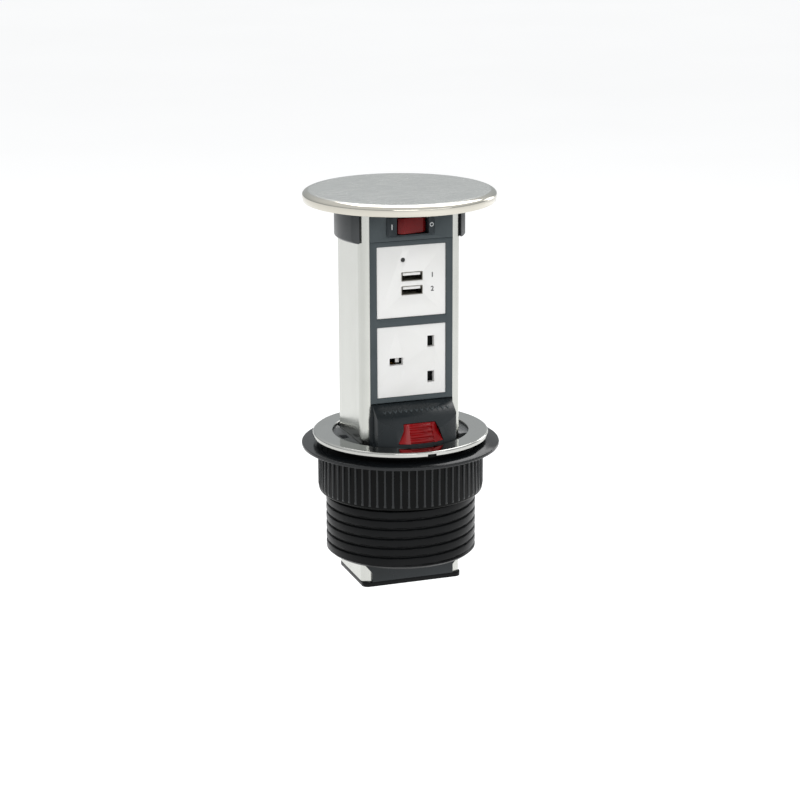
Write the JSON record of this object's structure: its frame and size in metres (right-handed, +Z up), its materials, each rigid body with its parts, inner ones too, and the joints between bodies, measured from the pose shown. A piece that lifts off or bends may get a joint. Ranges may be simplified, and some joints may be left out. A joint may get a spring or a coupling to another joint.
{
  "type": "pop-up power tower",
  "caption": "Round pull-up power tower for a worktop: steel lid and ring, aluminium tower with a three-pin socket, USB charger, breaker rocker and release button.",
  "frame": {"origin": "on the axis of the worktop hole, in the plane of the worktop's top face, where the gasket seats", "axes": "+Z up along the tower, tower front with its sockets faces -Y, +X to the right seen from the front"},
  "size_m": [0.1226, 0.1226, 0.2443],
  "materials": {
    "ring_steel": "polished stainless steel, satin on its face",
    "lid_steel": "brushed stainless steel",
    "tower_aluminium": "satin anodised aluminium extrusion",
    "black_plastic": "moulded black plastic, fine satin",
    "washer_plastic": "glossy black moulded plastic",
    "housing_plastic": "moulded black plastic, satin",
    "slate_plastic": "dark slate moulded plastic",
    "white_plastic": "warm white moulded plastic",
    "base_plastic": "off-white technical plastic",
    "rocker_red": "dark red moulded plastic",
    "button_red": "red moulded plastic, slightly clear",
    "gasket_rubber": "black foam rubber",
    "screw_steel": "zinc-plated steel",
    "spring_steel": "spring steel wire",
    "shell_steel": "tin-plated steel",
    "contact_brass": "sheet brass",
    "board_green": "glass fibre circuit board",
    "transformer_tape": "yellow winding tape over a ferrite core",
    "capacitor_sleeve": "sleeved aluminium can",
    "lamp_lens": "clear light guide",
    "wire_brown": "brown wire insulation",
    "wire_green": "green and yellow wire insulation",
    "wire_blue": "blue wire insulation"
  },
  "bodies": {
    "base": {"trim_ring": "ring_steel", "threaded_sleeve": "black_plastic", "worktop_gasket": "gasket_rubber"},
    "tower": {"tower_profile": "tower_aluminium", "top_cap": "black_plastic", "lid_cap": "lid_steel", "lid_under_plate": "black_plastic", "lid_screws": "screw_steel", "side_block_left": "black_plastic", "side_block_right": "black_plastic", "side_guide_left": "black_plastic", "side_guide_right": "black_plastic", "rear_guide": "black_plastic", "module_frame": "slate_plastic", "switch_panel": "slate_plastic", "breaker_housing": "black_plastic", "breaker_terminals": "contact_brass", "usb_plate": "white_plastic", "usb_shells": "shell_steel", "usb_tongues": "white_plastic", "usb_board": "board_green", "usb_transformer": "transformer_tape", "usb_capacitors": "capacitor_sleeve", "charge_lamp": "lamp_lens", "socket_plate": "white_plastic", "socket_base": "base_plastic", "shutter_spring": "spring_steel", "live_contact": "contact_brass", "neutral_contact": "contact_brass", "earth_contact": "contact_brass", "contact_terminals": "contact_brass", "contact_screws": "screw_steel", "release_housing": "housing_plastic", "button_spring": "spring_steel", "base_cap": "black_plastic", "base_screws": "screw_steel", "cable_clamp": "black_plastic", "clamp_screws": "screw_steel", "terminal_block": "base_plastic", "terminal_screws": "screw_steel", "live_wire": "wire_brown", "earth_wire": "wire_green", "neutral_wire": "wire_blue"},
    "clamp_washer": {"clamp_washer": "washer_plastic"},
    "ring_nut": {"ring_nut": "black_plastic"},
    "release_button": {"release_button": "button_red"},
    "breaker_rocker": {"breaker_rocker": "rocker_red"},
    "socket_shutter": {"socket_shutter": "white_plastic"}
  },
  "joints": [
    {"name": "tower_slide", "type": "slide", "parent": "base", "child": "tower", "axis": [0, 0, 1], "range_m": [-0.1455, 0]},
    {"name": "washer_slide", "type": "slide", "parent": "base", "child": "clamp_washer", "axis": [0, 0, 1], "range_m": [-0.037, 0.0025]},
    {"name": "nut_turn", "type": "hinge", "parent": "clamp_washer", "child": "ring_nut", "pos_m": [0, 0, -0.0188], "axis": [0, 0, 1], "range_deg": [-2221, 151]},
    {"name": "release_press", "type": "slide", "parent": "tower", "child": "release_button", "axis": [0, 1, 0], "range_m": [0, 0.003], "stiffness_N_per_m": 500, "springref_m": -0.001, "deforming": ["button_spring"]},
    {"name": "rocker_tilt", "type": "hinge", "parent": "tower", "child": "breaker_rocker", "pos_m": [0.0003, -0.0186, 0.13605], "axis": [0, 0, -1], "range_deg": [0, 20]},
    {"name": "shutter_slide", "type": "slide", "parent": "tower", "child": "socket_shutter", "axis": [1, 0, 0], "range_m": [0, 0.005], "stiffness_N_per_m": 120, "springref_m": -0.001, "deforming": ["shutter_spring"]}
  ],
  "couplings": [
    {"joint": "nut_turn", "follows": "washer_slide", "rad_per_m": 1047.2}
  ]
}
